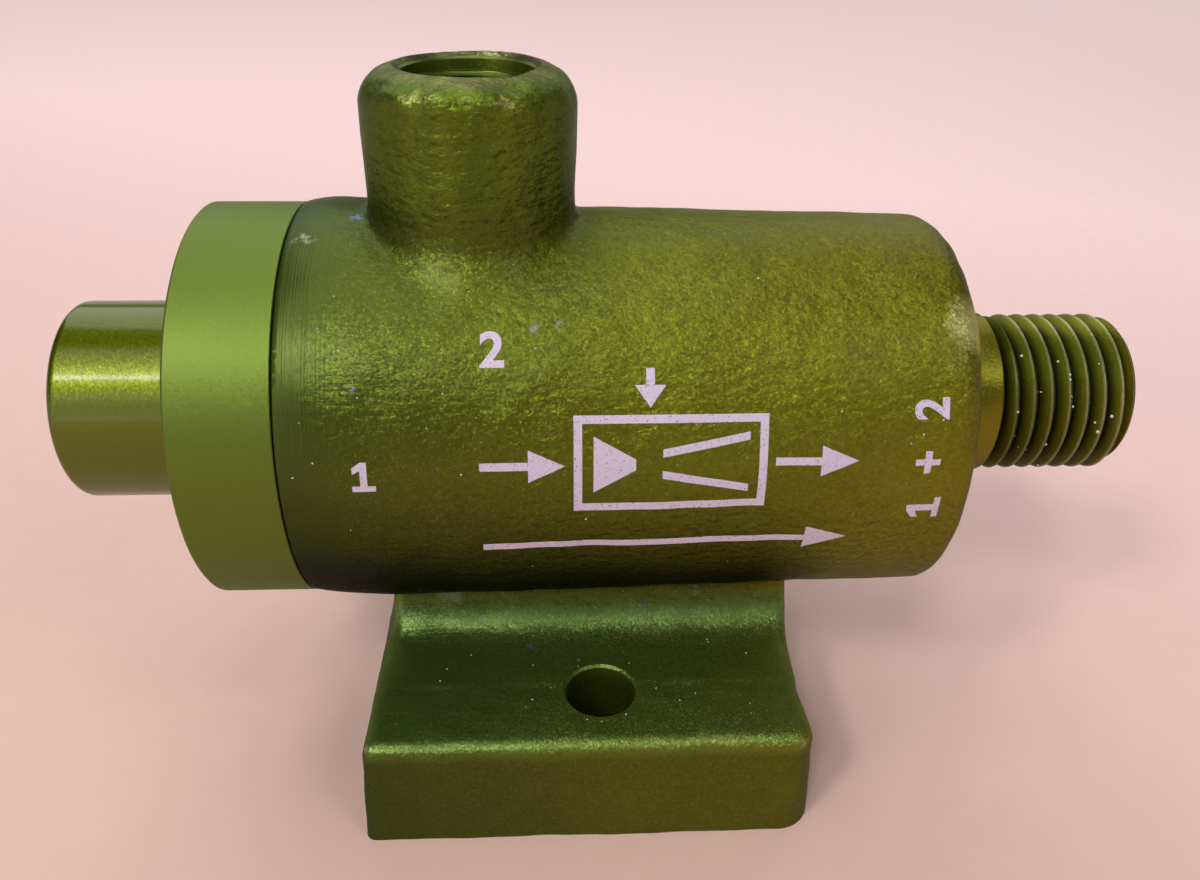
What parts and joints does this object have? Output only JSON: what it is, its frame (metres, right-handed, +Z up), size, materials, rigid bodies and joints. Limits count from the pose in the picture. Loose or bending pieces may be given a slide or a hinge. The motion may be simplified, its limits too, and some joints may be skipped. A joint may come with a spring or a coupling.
{
  "type": "vacuum ejector",
  "caption": "Compressed-air vacuum ejector: a green cast body on a drilled foot, with a turned supply cap, a threaded vacuum boss on top and a threaded exhaust stub.",
  "frame": {"origin": "on the foot's mounting face, midway between the two foot holes", "axes": "+X along the air way from the supply port to the exhaust thread, +Z up through the vacuum boss, +Y to the back"},
  "size_m": [0.0855, 0.037, 0.059],
  "materials": {
    "cast_anodised": "cast aluminium, blasted and anodised green, with a fine grainy sparkle",
    "turned_anodised": "turned aluminium, anodised green, with fine lathe marks and a satin sheen",
    "plain_aluminium": "turned aluminium, left plain",
    "brass": "turned brass",
    "black_rubber": "moulded black nitrile rubber",
    "print_ink": "pad-printed pale ink"
  },
  "bodies": {
    "root": {"body": "cast_anodised", "inlet_cap": "turned_anodised", "cap_gasket": "black_rubber", "nozzle": "brass", "nozzle_ring": "black_rubber", "diffuser": "plain_aluminium", "diffuser_front_ring": "black_rubber", "diffuser_rear_ring": "black_rubber"}
  },
  "joints": []
}
